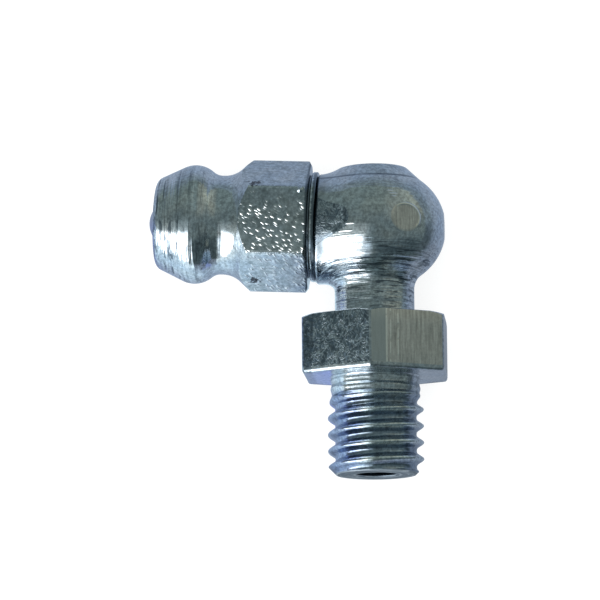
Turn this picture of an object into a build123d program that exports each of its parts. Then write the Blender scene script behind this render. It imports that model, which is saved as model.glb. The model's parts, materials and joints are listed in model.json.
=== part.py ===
from build123d import *
import os
from math import acos, asin, cos, pi, radians, sin, sqrt, tan

# Angle grease nipple with an M6 x 1 thread, in zinc plated steel: an elbow body turned from hexagon
# bar, and a straight nipple head pressed into a socket in the side of its ball. All sizes are in
# millimetres and degrees.
#
# Working frame: the origin is the centre of the ball, the threaded shank points down (-Z) and the
# head leaves towards -X. At the end the fitting is laid on its side, the way it rests on a bench.
# The shank is the plain cylinder at the major diameter of its thread.

# Elbow body, turned from hexagon bar about the axis of its thread
bar_across_flats = 8.5
bar_corner_radius = 0.3
ball_arc_radius = 3.45
ball_arc_offset = 0.9
crown_diameter = 4.1
crown_height = 3.62
crown_cone_foot = 2.8
neck_diameter = 4.8
neck_fillet = 1.2
hexagon_drop = 5.55
hexagon_height = 3.55
hexagon_chamfer = 0.2
hexagon_chamfer_angle = 25
runout_diameter = 5.35
runout_length = 1.0
thread_diameter = 5.8
shank_length = 5.9
shank_chamfer = 0.5

# Boss that carries the head, square to the thread, and the grease passages of the body
elbow_angle = 92.5
seat_distance = 3.42
boss_diameter = 6.66
boss_chamfer = 0.14
socket_diameter = 4.6
socket_depth = 2.0
drilling_diameter = 2.4
drilling_point_angle = 118
cross_hole_diameter = 2.0

# Nipple head, turned about its own axis, with distances from its seat on the boss
head_turn = -3.6
head_across_flats = 7.0
head_corner_radius = 0.25
stub_gap = 0.1
stub_chamfer = 0.2
collar_diameter = 6.66
collar_thickness = 0.3
relief_diameter = 6.3
relief_width = 0.15
head_chamfer_diameter = 7.5
head_chamfer_angle = 30
flare_angle = 42.5
flare_fillet = 1.6
groove_depth = 0.6
groove_length = 0.84
groove_fillet = 0.65
crest_diameter = 7.2
crest_arc_radius = 1.59
crest_distance = 7.42
nose_angle = 25.3
tip_fillet = 0.6
head_length = 9.79

# Check valve inside the head
valve_ball_diameter = 3.0
valve_ball_proud = 0.44
valve_seat_angle = 38
valve_clearance = 0.01
valve_ball_side_gap = 0.2
head_passage_diameter = 1.8
spring_ledge = 2.9
spring_side_gap = 0.3
spring_wire = 0.35
spring_turns = 5
wire_flat_count = 8

# Worked out from the sizes above
overcut = 0.5
hexagon_top = -hexagon_drop
hexagon_bottom = hexagon_top - hexagon_height
hexagon_chamfer_slope = tan(radians(hexagon_chamfer_angle))
shank_end = hexagon_bottom - shank_length
bar_corner = bar_across_flats / 2 / cos(radians(30))
bar_chamfer_start = bar_corner - hexagon_chamfer / hexagon_chamfer_slope
head_corner = head_across_flats / 2 / cos(radians(30))
stub_length = socket_depth - stub_gap
crest_ring_radius = crest_diameter / 2 - crest_arc_radius
crest_foot = crest_distance - crest_arc_radius
groove_diameter = crest_diameter - 2 * groove_depth
valve_ball_centre = head_length + valve_ball_proud - valve_ball_diameter / 2
valve_bore_diameter = valve_ball_diameter + 2 * valve_ball_side_gap
spring_diameter = valve_bore_diameter - 2 * spring_side_gap
spring_mean_radius = (spring_diameter - spring_wire) / 2
head_axis = Vector(-sin(radians(elbow_angle)), 0, -cos(radians(elbow_angle)))
head_seat = Plane(origin=head_axis * seat_distance, x_dir=(0, 1, 0), z_dir=head_axis)
boss_seat = Plane(origin=(-seat_distance, 0, 0), x_dir=(0, 1, 0), z_dir=(-1, 0, 0))


def hexagon_bar(across_flats, corner_radius, bottom, top):
    """Hexagon bar along Z with a pair of flats across X and rounded corners."""
    section = RegularPolygon(across_flats / 2, 6, major_radius=False, rotation=30)
    section = fillet(section.vertices(), corner_radius)
    return Pos(0, 0, bottom) * extrude(section, top - bottom)


def outline_point(point):
    """A (radius, height) point in the XZ plane, where every turned outline is drawn."""
    return Vector(point[0], 0, point[1])


def straight_edges(points):
    """Straight edges through a row of (radius, height) points."""
    return [
        Line(outline_point(start), outline_point(end)) for start, end in zip(points, points[1:])
    ]


def on_arc(centre, radius, normal_angle):
    """The point of an arc whose outward normal stands at an angle above the horizontal."""
    return (centre[0] + radius * cos(normal_angle), centre[1] + radius * sin(normal_angle))


def arc_edge(centre, radius, start_angle, end_angle):
    """Arc of an outline from one normal angle to another."""
    angles = (start_angle, (start_angle + end_angle) / 2, end_angle)
    return ThreePointArc(*[outline_point(on_arc(centre, radius, angle)) for angle in angles])


def rounded(face, corner, radius):
    """The outline's face with a fillet at the vertex nearest to a (radius, height) corner."""
    return fillet(face.vertices().sort_by_distance(outline_point(corner))[0], radius)


def pin(diameter, length):
    """Solid cylinder along Z that ends at the origin."""
    return Cylinder(diameter / 2, length, align=(Align.CENTER, Align.CENTER, Align.MAX))


def facing(diameter, length):
    """Solid cylinder along Z that starts at the origin."""
    return Cylinder(diameter / 2, length, align=(Align.CENTER, Align.CENTER, Align.MIN))


def turned_body():
    """The elbow body's turned outside: ball with a flat crown, neck, bar for the hexagon, shank."""
    crown_angle = asin(crown_cone_foot / ball_arc_radius)
    neck_angle = -acos((neck_diameter / 2 - ball_arc_offset) / ball_arc_radius)
    ball_centre = (ball_arc_offset, 0)
    ball_foot = on_arc(ball_centre, ball_arc_radius, neck_angle)
    outside = bar_corner + overcut
    chamfer_drop = (outside - bar_chamfer_start) * hexagon_chamfer_slope
    thread_top = hexagon_bottom - runout_length
    crown = [
        (0, crown_height),
        (crown_diameter / 2, crown_height),
        on_arc(ball_centre, ball_arc_radius, crown_angle),
    ]
    below = [
        ball_foot,
        (neck_diameter / 2, hexagon_top),
        (bar_chamfer_start, hexagon_top),
        (outside, hexagon_top - chamfer_drop),
        (outside, hexagon_bottom),
        (runout_diameter / 2, hexagon_bottom),
        (runout_diameter / 2, thread_top),
        (thread_diameter / 2, thread_top - (thread_diameter - runout_diameter) / 2),
        (thread_diameter / 2, shank_end + shank_chamfer),
        (thread_diameter / 2 - shank_chamfer, shank_end),
        (0, shank_end),
        (0, crown_height),
    ]
    ball = arc_edge(ball_centre, ball_arc_radius, crown_angle, neck_angle)
    outline = make_face([*straight_edges(crown), ball, *straight_edges(below)])
    return revolve(rounded(outline, ball_foot, neck_fillet), Axis.Z)


def drilling():
    """The hole drilled up the shank as far as the cross hole, with its drill point."""
    shoulder = cross_hole_diameter / 2
    point = drilling_diameter / 2 / tan(radians(drilling_point_angle / 2))
    outline = [
        (0, shank_end - overcut),
        (drilling_diameter / 2, shank_end - overcut),
        (drilling_diameter / 2, shoulder),
        (0, shoulder + point),
        (0, shank_end - overcut),
    ]
    return revolve(make_face(straight_edges(outline)), Axis.Z)


def elbow_body():
    """Ball, hexagon and shank in one piece, with the boss, the head's socket and the passages."""
    bar = hexagon_bar(
        bar_across_flats, bar_corner_radius, shank_end - overcut, crown_height + overcut
    )
    spot_face = head_seat * facing(boss_diameter + overcut, bar_across_flats)
    boss = boss_seat * Pos(0, 0, overcut) * pin(boss_diameter, seat_distance + overcut) - spot_face
    boss = chamfer(boss.edges().sort_by(Axis.X)[0], boss_chamfer)
    body = (turned_body() & bar) - spot_face + boss
    body -= head_seat * pin(socket_diameter, socket_depth)
    body -= head_seat * pin(cross_hole_diameter, seat_distance)
    return body - drilling()


def turned_head():
    """The nipple head's turned outside: stub, collar, relief, flare, groove, crest and nose."""
    groove = groove_diameter / 2
    outside = head_corner + overcut
    rear = collar_thickness + relief_width
    rear_rise = (outside - head_chamfer_diameter / 2) * tan(radians(head_chamfer_angle))
    crest_centre = (crest_ring_radius, crest_distance)
    shoulder = acos((groove + groove_fillet - crest_ring_radius) / (crest_arc_radius + groove_fillet))
    groove_drop = (crest_arc_radius + groove_fillet) * sin(shoulder)
    groove_centre = (groove + groove_fillet, crest_distance - groove_drop)
    flare_foot = (groove, groove_centre[1] - groove_length)
    flare_top = (outside, flare_foot[1] - (outside - groove) / tan(radians(flare_angle)))
    nose = radians(nose_angle)
    nose_foot = on_arc(crest_centre, crest_arc_radius, nose)
    tip = (nose_foot[0] - (head_length - nose_foot[1]) * tan(nose), head_length)
    behind = [
        (0, -stub_length),
        (socket_diameter / 2 - stub_chamfer, -stub_length),
        (socket_diameter / 2, stub_chamfer - stub_length),
        (socket_diameter / 2, 0),
        (collar_diameter / 2, 0),
        (collar_diameter / 2, collar_thickness),
        (relief_diameter / 2, collar_thickness),
        (relief_diameter / 2, rear),
        (head_chamfer_diameter / 2, rear),
        (outside, rear + rear_rise),
        flare_top,
        flare_foot,
        (groove, groove_centre[1]),
    ]
    shoulder_arc = arc_edge(groove_centre, groove_fillet, pi, pi - shoulder)
    crest_arc = arc_edge(crest_centre, crest_arc_radius, -shoulder, nose)
    ahead = [nose_foot, tip, (0, head_length), (0, -stub_length)]
    outline = make_face([*straight_edges(behind), shoulder_arc, crest_arc, *straight_edges(ahead)])
    outline = rounded(outline, flare_foot, flare_fillet)
    outline = rounded(outline, tip, tip_fillet)
    return revolve(outline, Axis.Z)


def valve_bore():
    """The head's bore: passage from the stub, ledge for the spring, bore, and the ball's seat."""
    bore = valve_bore_diameter / 2
    passage = head_passage_diameter / 2
    seat = radians(valve_seat_angle)
    seat_radius = valve_ball_diameter / 2 + valve_clearance
    contact = on_arc((0, valve_ball_centre), seat_radius, seat)
    outline = [
        (0, -stub_length - overcut),
        (passage, -stub_length - overcut),
        (passage, spring_ledge),
        (bore, spring_ledge),
        (bore, contact[1] - (bore - contact[0]) / tan(seat)),
        (contact[0] - (head_length - contact[1]) * tan(seat), head_length),
        (0, head_length),
        (0, -stub_length - overcut),
    ]
    return revolve(make_face(straight_edges(outline)), Axis.Z)


def nipple_head():
    """The head, hexagonal behind its groove, seated on the boss and turned about its own axis."""
    stock = hexagon_bar(
        head_across_flats, head_corner_radius, -stub_length - overcut, crest_foot
    )
    stock += Pos(0, 0, crest_foot) * facing(crest_diameter + overcut, head_length)
    head = (turned_head() & stock) - valve_bore()
    return head_seat * Rot(0, 0, head_turn) * head


def check_ball():
    """The ball that closes the mouth from inside."""
    return head_seat * Pos(0, 0, valve_ball_centre) * Sphere(valve_ball_diameter / 2)


def check_spring():
    """The coil spring between the ledge of the bore and the back of the ball.

    Its round wire is drawn with flats, which keeps the coil light.
    """
    bottom = spring_ledge + spring_wire / 2
    reach = (valve_ball_diameter + spring_wire) / 2 + valve_clearance
    top = valve_ball_centre - sqrt(reach**2 - spring_mean_radius**2)
    coil = Helix((top - bottom) / spring_turns, top - bottom, spring_mean_radius)
    section = Plane(origin=coil @ 0, z_dir=coil % 0) * RegularPolygon(spring_wire / 2, wire_flat_count)
    return head_seat * Pos(0, 0, bottom) * sweep(section, path=coil)


def lowest_point(turned_about, ring_radius, arc_radius, down):
    """The point that lies furthest down on a rim, which is an arc swept round an axis."""
    axis = turned_about.z_dir
    outwards = (down - axis * down.dot(axis)).normalized()
    return turned_about.origin + outwards * ring_radius + down * arc_radius


def bench_plane():
    """The frame of a bench under the fitting, which lies on its ball, hexagon corner and crest."""
    corner_distance = (bar_across_flats / 2 - bar_corner_radius) / cos(radians(30))
    corner_reach = corner_distance + bar_corner_radius
    corner_height = hexagon_top - (corner_reach - bar_chamfer_start) * hexagon_chamfer_slope
    corner = Plane((0, corner_distance, corner_height))
    crest = Plane(head_seat.origin + head_axis * crest_distance, z_dir=head_axis)
    down = Vector(0, 1, 0)
    for _ in range(30):
        ball_point = lowest_point(Plane.XY, ball_arc_offset, ball_arc_radius, down)
        corner_point = lowest_point(corner, bar_corner_radius, 0, down)
        crest_point = lowest_point(crest, crest_ring_radius, crest_arc_radius, down)
        down = (corner_point - ball_point).cross(crest_point - ball_point).normalized()
    level = Vector(1, 0, 0) - down * down.X
    return Plane(origin=(0, 0, 0), x_dir=level, z_dir=-down)


bench = bench_plane()
pieces = {
    "elbow_body": elbow_body(),
    "nipple_head": nipple_head(),
    "check_ball": check_ball(),
    "check_spring": check_spring(),
}
laid = {name: bench.to_local_coords(piece) for name, piece in pieces.items()}
box = Compound(list(laid.values())).bounding_box()
onto_origin = Pos(-box.center().X, -box.center().Y, -box.min.Z)

os.makedirs("parts", exist_ok=True)
for name, piece in laid.items():
    export_step(onto_origin * piece, f"parts/{name}.step")
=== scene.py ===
import json
from math import acos, asin, atan2, cos, pi, radians, sin, sqrt, tan

import bmesh
import bpy
import numpy as np
from mathutils import Matrix, Vector


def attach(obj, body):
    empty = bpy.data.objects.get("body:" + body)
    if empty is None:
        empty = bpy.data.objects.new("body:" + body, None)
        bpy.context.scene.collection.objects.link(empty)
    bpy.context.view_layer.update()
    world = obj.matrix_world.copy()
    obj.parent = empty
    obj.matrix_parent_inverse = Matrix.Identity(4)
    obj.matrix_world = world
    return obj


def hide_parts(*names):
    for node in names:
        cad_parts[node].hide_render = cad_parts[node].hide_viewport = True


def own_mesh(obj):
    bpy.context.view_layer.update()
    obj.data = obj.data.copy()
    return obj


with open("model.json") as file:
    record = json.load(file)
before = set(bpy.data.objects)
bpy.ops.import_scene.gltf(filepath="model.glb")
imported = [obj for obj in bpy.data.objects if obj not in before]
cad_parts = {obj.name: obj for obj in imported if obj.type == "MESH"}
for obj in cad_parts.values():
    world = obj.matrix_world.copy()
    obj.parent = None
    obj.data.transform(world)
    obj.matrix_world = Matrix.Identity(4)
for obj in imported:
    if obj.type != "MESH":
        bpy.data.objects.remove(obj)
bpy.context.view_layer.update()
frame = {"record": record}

# An angled grease nipple: finer meshes, metal, bench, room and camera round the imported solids.
# The row frame is in metres; the body's and the head's own working frames are in millimetres.

# ------------------------------ sizes, in millimetres and degrees
BAR_FLATS, BAR_ROUND = 8.5, 0.3
BALL_RADIUS, BALL_OFFSET = 3.45, 0.9
CROWN_RADIUS, CROWN_HEIGHT, CONE_FOOT, CROWN_FILLET = 2.05, 3.62, 2.8, 0.12
NECK_RADIUS, NECK_FILLET, NECK_LOW, NECK_FOOT_FILLET = 2.4, 1.2, -4.6, 0.1
HEX_TOP, HEX_BOTTOM = -5.55, -9.1
HEX_CHAMFER, HEX_CHAMFER_ANGLE, HEX_EDGE_ROUND = 0.2, 25.0, 0.07
HEX_LOWER_EDGE_IN, HEX_LOWER_EDGE_UP = 0.14, 0.3
RUNOUT_RADIUS, RUNOUT_LENGTH, RUNOUT_FILLET = 2.675, 1.0, 0.12
ROLLER_RING_HEIGHT, ROLLER_RING_PITCH, ROLLER_RING_START = 0.026, 0.52, 0.22
THREAD_RADIUS, THREAD_ROOT, PITCH, THREAD_PHASE = 2.9, 2.43, 1.0, -0.09
CREST_HALF_WIDTH, FLANK_SLOPE, THREAD_SOFTNESS = 0.08, 1.732, 0.11
CREST_FADE, ROOT_FADE = 0.9, 0.7
SHANK_END, SHANK_CHAMFER = -15.0, 0.5
DRILLING_RADIUS, DRILLING_TOP, DRILLING_CONE, DRILLING_EDGE = 1.2, 1.0, 0.7, 0.08
ELBOW_ANGLE, SEAT, BOSS_RADIUS, BOSS_CHAMFER, BOSS_FILLET = 92.5, 3.42, 3.33, 0.14, 0.55
FACING_RADIUS = BOSS_RADIUS + 0.25

HEAD_TURN, HEAD_FLATS, HEAD_ROUND, HEAD_EDGE_ROUND = -3.6, 7.0, 0.25, 0.06
STUB_RADIUS, STUB_LENGTH, STUB_CHAMFER, COLLAR_EDGE = 2.3, 1.9, 0.2, 0.04
COLLAR_RADIUS, COLLAR, RELIEF_RADIUS, RELIEF = 3.33, 0.3, 3.15, 0.15
REAR_RADIUS, REAR_ANGLE = 3.75, 30.0
FLARE_ANGLE, FLARE_FILLET = 42.5, 1.6
GROOVE_DEPTH, GROOVE_LENGTH, GROOVE_FILLET = 0.6, 0.744, 0.9
CREST_RADIUS, CREST_ARC, CREST_AT = 3.6, 1.59, 7.42
NOSE_ANGLE, TIP_FILLET, HEAD_LENGTH = 25.3, 0.6, 9.79

VALVE_BALL_RADIUS, VALVE_PROUD, VALVE_SEAT_ANGLE, VALVE_CLEARANCE = 1.5, 0.44, 38.0, 0.01
BALL_CENTRE = HEAD_LENGTH + VALVE_PROUD - VALVE_BALL_RADIUS
VALVE_BORE, PASSAGE, SPRING_LEDGE, MOUTH_EDGE = 1.7, 0.9, 2.9, 0.03
SPRING_WIRE, SPRING_RADIUS, SPRING_TURNS = 0.35, 1.225, 5
SPRING_REACH = VALVE_BALL_RADIUS + SPRING_WIRE / 2 + VALVE_CLEARANCE
SPRING_TOP = BALL_CENTRE - sqrt(SPRING_REACH**2 - SPRING_RADIUS**2)

# columns round each turned piece, rows to a turn of the thread, spacing of points along outlines
BODY_COLUMNS, HEAD_COLUMNS, ROWS_PER_TURN = 384, 288, 20
CROWN_STEP, CONE_STEP, WALL_STEP = 0.25, 0.07, 0.1

# ------------------------------ the working frame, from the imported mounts
mounts = {m["name"]: m for m in frame["record"]["mounts"]}
DOWN = Vector(mounts["thread"]["axis"]).normalized()
HEAD_AXIS = Vector(mounts["coupler_head"]["axis"]).normalized()
TIP = Vector(mounts["coupler_head"]["pos_m"]) * 1000
ORIGIN = TIP - HEAD_AXIS * (SEAT + HEAD_LENGTH)
AXIS_Z = -DOWN
AXIS_X = -(HEAD_AXIS - AXIS_Z * HEAD_AXIS.dot(AXIS_Z)).normalized()
AXIS_Y = AXIS_Z.cross(AXIS_X)
BODY_FRAME = np.array([AXIS_X, AXIS_Y, AXIS_Z])
HEAD_X = AXIS_Y
HEAD_Y = HEAD_AXIS.cross(HEAD_X)
HEAD_FRAME = np.array([HEAD_X, HEAD_Y, HEAD_AXIS])
HEAD_SEAT = np.array(ORIGIN + HEAD_AXIS * SEAT)
HEAD_LOCAL = np.array([-sin(radians(ELBOW_ANGLE)), 0.0, -cos(radians(ELBOW_ANGLE))])


def body_to_row(points):
    """Points of the body's working frame, in mm, to metres of the row frame."""
    return (np.asarray(points) @ BODY_FRAME + np.array(ORIGIN)) / 1000


def head_to_row(points):
    """Points of the head's own frame (z from the seat outwards) to metres of the row frame."""
    turn = radians(HEAD_TURN)
    spin = np.array([[cos(turn), sin(turn), 0], [-sin(turn), cos(turn), 0], [0, 0, 1]])
    return (np.asarray(points) @ spin @ HEAD_FRAME + HEAD_SEAT) / 1000


# ------------------------------ mesh helpers
def mesh_object(name, vertices, faces, merge=1e-8, sharp=40.0):
    """A mesh object from points in metres, with doubles merged and crisp edges kept."""
    mesh = bpy.data.meshes.new(name)
    mesh.from_pydata([tuple(v) for v in vertices], [], faces)
    work = bmesh.new()
    work.from_mesh(mesh)
    bmesh.ops.remove_doubles(work, verts=work.verts, dist=merge)
    bmesh.ops.dissolve_degenerate(work, edges=work.edges, dist=merge)
    bmesh.ops.recalc_face_normals(work, faces=work.faces)
    for face in work.faces:
        face.smooth = True
    limit = radians(sharp)
    for edge in work.edges:
        if len(edge.link_faces) == 2 and edge.calc_face_angle(0) > limit:
            edge.smooth = False
    work.to_mesh(mesh)
    work.free()
    made = bpy.data.objects.new(name, mesh)
    bpy.context.scene.collection.objects.link(made)
    return made


def grid_faces(start, rows, columns, shift=0):
    """Quads of a grid that closes on itself sideways, with a shift of rows at its seam."""
    faces = []
    for i in range(rows - 1):
        for j in range(columns):
            k = (j + 1) % columns
            lift = shift if k == 0 else 0
            if i + 1 + lift < rows and i + lift >= 0:
                a, b = start + i * columns + j, start + (i + 1) * columns + j
                c, d = start + (i + 1 + lift) * columns + k, start + (i + lift) * columns + k
                faces.append((a, b, c, d))
    return faces


def spaced(points, step):
    """A polyline walked at about an even step, with its own corners kept."""
    out = [points[0]]
    for a, b in zip(points, points[1:]):
        a, b = np.array(a, float), np.array(b, float)
        count = max(1, round(np.linalg.norm(b - a) / step))
        out += [tuple(a + (b - a) * k / count) for k in range(1, count + 1)]
    return out


class Shell:
    """Rows of points, and the faces between them, gathered for one mesh."""

    def __init__(self):
        self.points, self.faces = [], []

    def add(self, rows, shift=0):
        """Adds a grid of rows and hands back the index of its first point."""
        start = len(self.points)
        self.faces += grid_faces(start, len(rows), len(rows[0]), shift)
        self.points += [p for row in rows for p in row]
        return start


def arc(centre, radius, start, end, count):
    """Points of an arc between two angles in radians."""
    return [
        (centre[0] + radius * cos(a), centre[1] + radius * sin(a))
        for a in np.linspace(start, end, count)
    ]


def filleted(points, index, radius, count=8):
    """The polyline with a fillet in place of one corner."""
    a, b, c = (np.array(p, float) for p in points[index - 1 : index + 2])
    u, v = (a - b) / np.linalg.norm(a - b), (c - b) / np.linalg.norm(c - b)
    half = acos(float(np.clip(u @ v, -1, 1))) / 2
    reach = radius / tan(half)
    middle = (u + v) / np.linalg.norm(u + v)
    centre = b + middle * radius / sin(half)
    first, last = b + u * reach, b + v * reach
    start = atan2(*(first - centre)[::-1])
    sweep = (atan2(*(last - centre)[::-1]) - start + pi) % (2 * pi) - pi
    curve = arc(tuple(centre), radius, start, start + sweep, count)
    return list(points[:index]) + curve + list(points[index + 1 :])


def hexagon_radius(phi, flats, rounding):
    """How far a hexagon with rounded corners reaches at an angle; its first flat faces angle 0."""
    a = (phi + pi / 6) % (pi / 3) - pi / 6
    flat = flats / 2 / np.cos(a)
    corner = (flats / 2 - rounding) / cos(pi / 6)
    b = pi / 6 - np.abs(a)
    tangent = atan2(rounding * sin(pi / 6), corner + rounding * cos(pi / 6))
    rounded = corner * np.cos(b) + np.sqrt(np.maximum(rounding**2 - (corner * np.sin(b)) ** 2, 0))
    return np.where(b < tangent, rounded, flat)


def edge_rows(outer, chamfer_from, level, slope_angle, rounding, side):
    """Rows (radius, height) over a hexagon's chamfered and rounded edge, from its face to its wall.

    side is +1 for a top edge and -1 for a bottom one.
    """
    slope = radians(slope_angle)
    inner_wall = outer - rounding
    face_end = np.minimum(chamfer_from - rounding * (1 / cos(slope) - 1) / tan(slope), inner_wall)
    drop = np.maximum(
        rounding, (inner_wall - chamfer_from) * tan(slope) + rounding / cos(slope)
    )
    rows = []
    for angle in (90, 82, 73, 90 - slope_angle):
        a = radians(angle)
        rows.append((face_end + rounding * cos(a), level + side * (rounding * sin(a) - rounding)))
    for angle in (90 - slope_angle, 48, 32, 16, 0):
        a = radians(angle)
        rows.append((inner_wall + rounding * cos(a), level + side * (rounding * sin(a) - drop)))
    return rows


# ------------------------------ elbow body
def body_columns():
    """Angles round the thread's axis, closer together at the boss and at the hexagon's corners."""
    fine = np.linspace(0, 2 * pi, 20001)
    from_corner = np.abs(fine % (pi / 3) - pi / 6)
    weight = np.ones_like(fine)
    weight += 0.8 * (np.abs(fine - pi) < radians(60))
    weight += 1.3 * (from_corner < radians(3.2))
    total = np.concatenate([[0], np.cumsum((weight[1:] + weight[:-1]) / 2)])
    return np.interp(np.arange(BODY_COLUMNS) * total[-1] / BODY_COLUMNS, total, fine)


def crown_outline():
    """The turned outline from the middle of the crown to low on the neck, as (radius, height)."""
    neck_x = NECK_RADIUS + NECK_FILLET
    reach = BALL_RADIUS + NECK_FILLET
    low = -sqrt(reach**2 - (neck_x - BALL_OFFSET) ** 2)
    meet = atan2(low, neck_x - BALL_OFFSET)
    foot_angle = asin(CONE_FOOT / BALL_RADIUS)
    foot = (BALL_OFFSET + BALL_RADIUS * cos(foot_angle), CONE_FOOT)
    top = [(0, CROWN_HEIGHT), (CROWN_RADIUS, CROWN_HEIGHT), foot]
    top = filleted(top, 1, CROWN_FILLET, 5)
    ball = arc((BALL_OFFSET, 0), BALL_RADIUS, foot_angle, meet, 104)
    fillet = arc((neck_x, low), NECK_FILLET, pi + meet, pi, 20)
    neck = [(NECK_RADIUS, low), (NECK_RADIUS, NECK_LOW)]
    return (
        spaced(top[:2], CROWN_STEP)[:-1]
        + top[1:-1]
        + spaced([top[-2], foot], CONE_STEP)[1:-1]
        + ball
        + fillet[1:-1]
        + spaced(neck, WALL_STEP)
    )


def outline_distance(radius, height, outline):
    """Distance of points from an outline, negative inside it."""
    line = np.array(outline)
    a, b = line[:-1], line[1:]
    ab = b - a
    length = (ab**2).sum(1)
    keep = length > 1e-12
    a, ab, length = a[keep], ab[keep], length[keep]
    p = np.stack([radius, height], -1)[:, None, :]
    t = np.clip(((p - a) * ab).sum(-1) / length, 0, 1)
    near = a + ab * t[..., None]
    d2 = ((p - near) ** 2).sum(-1)
    best = d2.argmin(1)
    rows = np.arange(len(best))
    away = p[:, 0] - near[rows, best]
    side = away[:, 0] * ab[best, 1] - away[:, 1] * ab[best, 0]
    return np.sqrt(d2[rows, best]) * np.where(side > 0, -1, 1)


def ball_points(phi):
    """Crown, ball with its flats, boss with its fillet, and neck: a row for each outline point."""
    outline = crown_outline()
    bar = hexagon_radius(phi, BAR_FLATS, BAR_ROUND)
    across = np.stack([np.cos(phi), np.sin(phi)], -1)
    # rays from the ball's middle, and how far the turned body reaches along each
    rows = []
    for radius, height in outline:
        reach = max(sqrt(radius**2 + height**2), 1e-9)
        share = np.minimum(radius, bar) / max(radius, 1e-9) if radius > 0 else np.ones_like(bar)
        direction = np.concatenate(
            [across * radius / reach, np.full((len(phi), 1), height / reach)], 1
        )
        rows.append((direction, reach * share))
    direction = np.array([r[0] for r in rows])
    turned = np.array([r[1] for r in rows])
    # the boss without its fillet, as a first guess of the reach
    along = direction @ HEAD_LOCAL
    boss_side = np.hypot(direction[..., 1], direction[..., 2])
    wall = BOSS_RADIUS / np.maximum(boss_side, 1e-6)
    ahead = np.maximum(along, 0.05)
    rim = (SEAT + BOSS_RADIUS - BOSS_CHAMFER) / (ahead + boss_side)
    boss = np.where(along > 0.05, np.minimum(np.minimum(wall, SEAT / ahead), rim), 0)
    reach = np.maximum(turned, boss)
    # only rays towards the boss, and not the far ones along its axis, can need the fillet
    index = np.nonzero((along > 0.25) & (reach < 6.5))
    ray, t = direction[index], reach[index]

    def outside(distance):
        """How far the points at these distances along the rays lie outside the blended shape."""
        p = ray * distance[:, None]
        radius = np.hypot(p[:, 0], p[:, 1])
        d_turned = outline_distance(radius, p[:, 2], outline)
        angle = np.arctan2(p[:, 1], p[:, 0])
        flat = (angle + pi / 6) // (pi / 3) * (pi / 3)
        d_bar = p[:, 0] * np.cos(flat) + p[:, 1] * np.sin(flat) - BAR_FLATS / 2
        d_body = np.maximum(d_turned, d_bar)
        d_wall = np.hypot(p[:, 1], p[:, 2]) - BOSS_RADIUS
        u, v = np.maximum(BOSS_FILLET - d_body, 0), np.maximum(BOSS_FILLET - d_wall, 0)
        blended = np.maximum(BOSS_FILLET, np.minimum(d_body, d_wall)) - np.hypot(u, v)
        h = p @ HEAD_LOCAL
        d_face = np.maximum(h - SEAT, (h - SEAT + d_wall + BOSS_CHAMFER) / sqrt(2))
        from_axis = np.linalg.norm(p - h[:, None] * HEAD_LOCAL, axis=1)
        return np.maximum(blended, np.where(from_axis < FACING_RADIUS, d_face, -1.0))

    # the blended shape's own reach, by halving
    low, high = np.full(len(t), 2.0), t + 1.2
    for _ in range(26):
        middle = (low + high) / 2
        out = outside(middle) > 0
        high = np.where(out, middle, high)
        low = np.where(out, low, middle)
    reach[index] = (low + high) / 2
    return direction * reach[..., None]


def runout_wave(height):
    """The shallow rings that the thread roller leaves between the hexagon and the first crest."""
    fade = np.clip((height - (HEX_BOTTOM - 1.7)) / 0.4, 0, 1)
    turns = (height - HEX_BOTTOM + ROLLER_RING_START) / ROLLER_RING_PITCH
    return ROLLER_RING_HEIGHT * np.cos(2 * pi * turns) * fade


def softened(value):
    """The value where it is above 0 and 0 where it is below, with a soft bend between."""
    return (value + sqrt(value**2 + THREAD_SOFTNESS**2)) / 2


def thread_share(phase):
    """Height of the thread's outline at a share of its pitch: 1 at its crest, 0 at its root."""
    depth = THREAD_RADIUS - THREAD_ROOT
    flank = (abs(phase) * PITCH - CREST_HALF_WIDTH) * FLANK_SLOPE
    drop = depth - softened(depth - softened(flank))
    return 1 - max(drop, 0) / depth


def thread_points(phi, top, bottom):
    """The rolled thread as rows that climb with its helix, from its run-out to the end chamfer."""
    step = PITCH / ROWS_PER_TURN
    climb = PITCH * phi / (2 * pi)
    count = int((top - bottom + PITCH) / step) + 3
    start = top + step
    rows = []
    for i in range(count):
        level = start - i * step
        z = np.clip(level + climb, bottom, top)
        phase = ((level - THREAD_PHASE) / PITCH + 0.5) % 1 - 0.5
        sunk = np.clip((z - (top - CREST_FADE)) / CREST_FADE, 0, 1)
        raised = np.clip((z - (top - ROOT_FADE)) / ROOT_FADE, 0, 1)
        full = THREAD_RADIUS - sunk * (THREAD_RADIUS - RUNOUT_RADIUS)
        root = THREAD_ROOT + raised * (RUNOUT_RADIUS - THREAD_ROOT)
        r = root + (full - root) * thread_share(phase) + runout_wave(z)
        r = np.minimum(r, THREAD_RADIUS - SHANK_CHAMFER + (z - bottom))
        rows.append(np.stack([r * np.cos(phi), r * np.sin(phi), z], -1))
    return rows


def ring(phi, radius, height):
    """A row of points on a circle or along a column-wise outline."""
    radius = np.broadcast_to(radius, phi.shape)
    height = np.broadcast_to(height, phi.shape)
    return np.stack([radius * np.cos(phi), radius * np.sin(phi), height], -1)


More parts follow.
